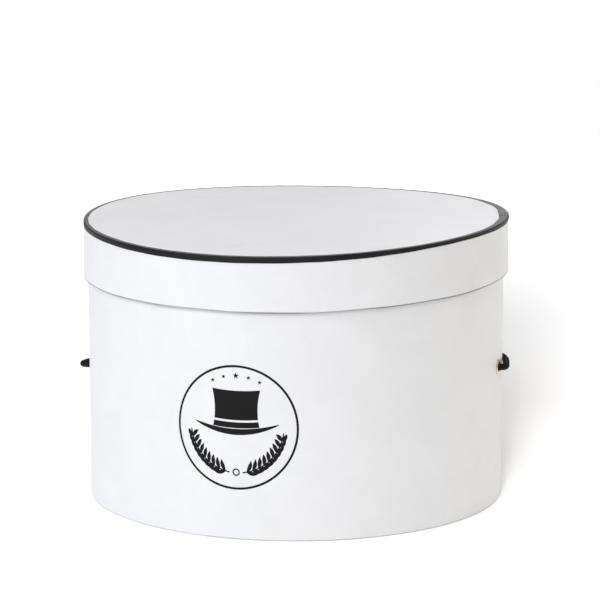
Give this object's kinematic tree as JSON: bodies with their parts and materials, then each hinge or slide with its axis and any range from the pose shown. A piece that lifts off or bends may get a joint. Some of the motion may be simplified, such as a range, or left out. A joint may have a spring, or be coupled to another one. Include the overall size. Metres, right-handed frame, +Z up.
{
  "type": "hat box",
  "caption": "Round paper-covered board hat box with a deep slip-over lid, black bound edge, side eyelets and a black carrying cord.",
  "frame": {"origin": "centre of the underside, on the surface the box stands on", "axes": "+Z up, front (printed side) towards -Y, the two cord eyelets on the X axis, board seams at the back towards +Y"},
  "size_m": [0.391, 0.3946, 0.2365],
  "materials": {
    "white_cover_paper": "satin glazed white paper",
    "white_lining_paper": "matte white lining paper",
    "greyboard": "matte grey-brown board",
    "gummed_tape": "matte brown gummed paper",
    "black_binding": "black coated cloth tape, low sheen",
    "brass_eyelet": "polished brass",
    "black_cord": "black braided cotton cord"
  },
  "bodies": {
    "body": {"body_wall_board": "greyboard", "body_wall_paper": "white_cover_paper", "body_wall_lining": "white_lining_paper", "body_seam_tape": "gummed_tape", "base_board": "greyboard", "base_paper": "white_cover_paper", "base_lining": "white_lining_paper", "left_eyelet": "brass_eyelet", "right_eyelet": "brass_eyelet", "left_eyelet_washer": "brass_eyelet", "right_eyelet_washer": "brass_eyelet", "left_cord_knot": "black_cord", "right_cord_knot": "black_cord", "carry_cord": "black_cord"},
    "lid": {"lid_top_board": "greyboard", "lid_rim_board": "greyboard", "lid_top_paper": "white_cover_paper", "lid_rim_paper": "white_cover_paper", "lid_top_lining": "white_lining_paper", "lid_rim_lining": "white_lining_paper", "lid_seam_tape": "gummed_tape", "lid_edge_binding": "black_binding"}
  },
  "joints": [
    {"name": "lid_lift", "type": "slide", "parent": "body", "child": "lid", "axis": [0, 0, 1], "range_m": [0, 0.15]}
  ]
}
